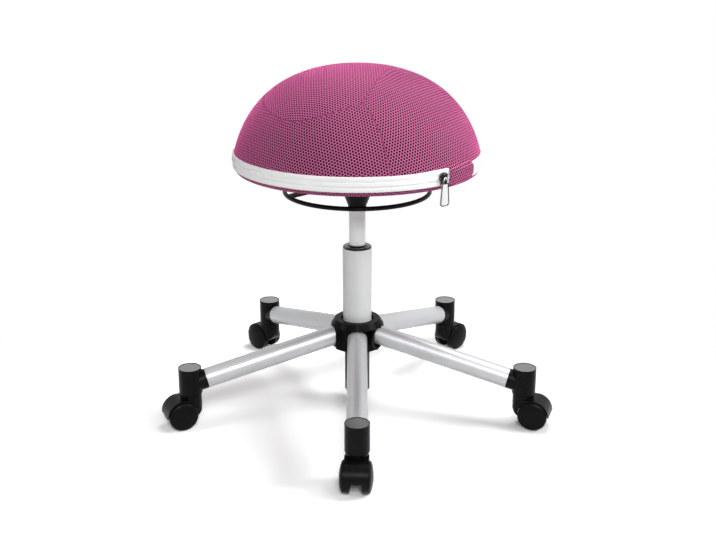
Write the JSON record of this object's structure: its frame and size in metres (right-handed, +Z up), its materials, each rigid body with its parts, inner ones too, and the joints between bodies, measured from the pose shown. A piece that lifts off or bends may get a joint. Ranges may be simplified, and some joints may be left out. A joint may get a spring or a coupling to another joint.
{
  "type": "office stool",
  "caption": "Height-adjustable office stool: a half-ball seat in a zipped mesh cover on a gas spring column, with a release ring, a star base of sloping tube legs and twin-wheel casters",
  "frame": {"origin": "on the floor, under the axis of the column that the seat turns on", "axes": "+Z up along the column; the front leg points along -Y; +X to the right of someone who faces the front leg's caster"},
  "size_m": [0.6692, 0.6351, 0.6],
  "materials": {
    "hub_plastic": "satin black, fine grain",
    "leg_silver": "silver powder coat, satin",
    "socket_plastic": "satin black, fine grain",
    "cap_gloss": "half-gloss black",
    "screw_steel": "blackened zinc",
    "stem_steel": "bright zinc",
    "stand_black": "black powder coat",
    "column_silver": "silver powder coat, satin",
    "bush_gloss": "gloss black",
    "rod_chrome": "ground and chromed",
    "tube_silver": "fine silver lacquer",
    "caster_plastic": "satin black",
    "axle_steel": "bright zinc",
    "wheel_plastic": "satin black, worn a little duller on the tread",
    "boss_plastic": "satin black",
    "plate_black": "black powder coat",
    "board_wood": "raw birch plywood",
    "ball_rubber": "smooth, a little waxy",
    "cover_mesh": "magenta spacer mesh",
    "tape_white": "white woven tape and teeth",
    "flap_pink": "plain magenta weave",
    "button_brass": "turned",
    "ring_black": "black powder coat, satin",
    "slider_chrome": "dark nickel",
    "puller_chrome": "polished nickel"
  },
  "bodies": {
    "base": {"base_hub": "hub_plastic", "stand_tube": "stand_black", "column_sleeve": "column_silver", "column_bush": "bush_gloss", "thrust_bearing": "stem_steel", "leg_1": "leg_silver", "leg_2": "leg_silver", "leg_3": "leg_silver", "leg_4": "leg_silver", "leg_5": "leg_silver", "socket_1": "socket_plastic", "socket_2": "socket_plastic", "socket_3": "socket_plastic", "socket_4": "socket_plastic", "socket_5": "socket_plastic", "socket_caps": "cap_gloss", "leg_screws": "screw_steel", "caster_stems": "stem_steel"},
    "spindle": {"piston_rod": "rod_chrome", "piston": "bush_gloss", "rod_clip": "stem_steel"},
    "seat": {"pressure_tube": "tube_silver", "rod_gland": "bush_gloss", "seat_cone": "boss_plastic", "mount_plate": "plate_black", "mount_screws": "screw_steel", "board_inserts": "screw_steel", "seat_board": "board_wood", "half_ball": "ball_rubber", "valve_plug": "ball_rubber", "cover_top": "cover_mesh", "cover_bottom": "cover_mesh", "zip_tapes": "tape_white", "zip_coil": "tape_white", "zip_tab": "flap_pink", "ring_pin": "stem_steel"},
    "release_ring": {"release_ring": "ring_black"},
    "release_button": {"release_button": "button_brass"},
    "zip_slider": {"zip_slider": "slider_chrome"},
    "zip_puller": {"zip_puller": "puller_chrome"},
    "caster_1": {"caster_1_housing": "caster_plastic", "caster_1_axle": "axle_steel"},
    "caster_1_left": {"caster_1_wheel_left": "wheel_plastic"},
    "caster_1_right": {"caster_1_wheel_right": "wheel_plastic"},
    "caster_2": {"caster_2_housing": "caster_plastic", "caster_2_axle": "axle_steel"},
    "caster_2_left": {"caster_2_wheel_left": "wheel_plastic"},
    "caster_2_right": {"caster_2_wheel_right": "wheel_plastic"},
    "caster_3": {"caster_3_housing": "caster_plastic", "caster_3_axle": "axle_steel"},
    "caster_3_left": {"caster_3_wheel_left": "wheel_plastic"},
    "caster_3_right": {"caster_3_wheel_right": "wheel_plastic"},
    "caster_4": {"caster_4_housing": "caster_plastic", "caster_4_axle": "axle_steel"},
    "caster_4_left": {"caster_4_wheel_left": "wheel_plastic"},
    "caster_4_right": {"caster_4_wheel_right": "wheel_plastic"},
    "caster_5": {"caster_5_housing": "caster_plastic", "caster_5_axle": "axle_steel"},
    "caster_5_left": {"caster_5_wheel_left": "wheel_plastic"},
    "caster_5_right": {"caster_5_wheel_right": "wheel_plastic"}
  },
  "joints": [
    {"name": "seat_swivel", "type": "hinge", "parent": "base", "child": "spindle", "pos_m": [0, 0, 0.02926], "axis": [0, 0, 1], "continuous": true},
    {"name": "seat_height", "type": "slide", "parent": "spindle", "child": "seat", "axis": [0, 0, 1], "range_m": [-0.06, 0.038]},
    {"name": "ring_lift", "type": "hinge", "parent": "seat", "child": "release_ring", "pos_m": [-0.02255, -0.00821, 0.40226], "axis": [-0.342, 0.9397, 0], "range_deg": [0, 6], "stiffness_Nm_per_rad": 8, "springref_deg": -4.58},
    {"name": "button_press", "type": "slide", "parent": "seat", "child": "release_button", "axis": [0, 0, -1], "range_m": [0, 0.0027]},
    {"name": "zip_run", "type": "hinge", "parent": "seat", "child": "zip_slider", "pos_m": [0, 0, 0.44936], "axis": [0, 0, 1], "range_deg": [-330, 0]},
    {"name": "puller_swing", "type": "hinge", "parent": "zip_slider", "child": "zip_puller", "pos_m": [0.13368, -0.16686, 0.44516], "axis": [-0.7804, -0.6252, 0], "range_deg": [0, 170]},
    {"name": "caster_1_swivel", "type": "hinge", "parent": "base", "child": "caster_1", "pos_m": [0, -0.298, 0.05], "axis": [0, 0, 1], "continuous": true},
    {"name": "caster_1_left_spin", "type": "hinge", "parent": "caster_1", "child": "caster_1_left", "pos_m": [-0.00139, -0.31795, 0.025], "axis": [0.9976, -0.0698, 0], "continuous": true},
    {"name": "caster_1_right_spin", "type": "hinge", "parent": "caster_1", "child": "caster_1_right", "pos_m": [-0.00139, -0.31795, 0.025], "axis": [0.9976, -0.0698, 0], "continuous": true},
    {"name": "caster_2_swivel", "type": "hinge", "parent": "base", "child": "caster_2", "pos_m": [0.28341, -0.09209, 0.05], "axis": [0, 0, 1], "continuous": true},
    {"name": "caster_2_left_spin", "type": "hinge", "parent": "caster_2", "child": "caster_2_left", "pos_m": [0.30215, -0.09909, 0.025], "axis": [0.3502, 0.9367, 0], "continuous": true},
    {"name": "caster_2_right_spin", "type": "hinge", "parent": "caster_2", "child": "caster_2_right", "pos_m": [0.30215, -0.09909, 0.025], "axis": [0.3502, 0.9367, 0], "continuous": true},
    {"name": "caster_3_swivel", "type": "hinge", "parent": "base", "child": "caster_3", "pos_m": [0.17516, 0.24109, 0.05], "axis": [0, 0, 1], "continuous": true},
    {"name": "caster_3_left_spin", "type": "hinge", "parent": "caster_3", "child": "caster_3_left", "pos_m": [0.1893, 0.25523, 0.025], "axis": [-0.7071, 0.7071, 0], "continuous": true},
    {"name": "caster_3_right_spin", "type": "hinge", "parent": "caster_3", "child": "caster_3_right", "pos_m": [0.1893, 0.25523, 0.025], "axis": [-0.7071, 0.7071, 0], "continuous": true},
    {"name": "caster_4_swivel", "type": "hinge", "parent": "base", "child": "caster_4", "pos_m": [-0.17516, 0.24109, 0.05], "axis": [0, 0, 1], "continuous": true},
    {"name": "caster_4_left_spin", "type": "hinge", "parent": "caster_4", "child": "caster_4_left", "pos_m": [-0.18955, 0.25498, 0.025], "axis": [-0.6947, -0.7193, 0], "continuous": true},
    {"name": "caster_4_right_spin", "type": "hinge", "parent": "caster_4", "child": "caster_4_right", "pos_m": [-0.18955, 0.25498, 0.025], "axis": [-0.6947, -0.7193, 0], "continuous": true},
    {"name": "caster_5_swivel", "type": "hinge", "parent": "base", "child": "caster_5", "pos_m": [-0.28341, -0.09209, 0.05], "axis": [0, 0, 1], "continuous": true},
    {"name": "caster_5_left_spin", "type": "hinge", "parent": "caster_5", "child": "caster_5_left", "pos_m": [-0.30131, -0.10101, 0.025], "axis": [0.4462, -0.8949, 0], "continuous": true},
    {"name": "caster_5_right_spin", "type": "hinge", "parent": "caster_5", "child": "caster_5_right", "pos_m": [-0.30131, -0.10101, 0.025], "axis": [0.4462, -0.8949, 0], "continuous": true}
  ],
  "couplings": [
    {"joint": "button_press", "follows": "ring_lift", "m_per_rad": 0.0245}
  ]
}
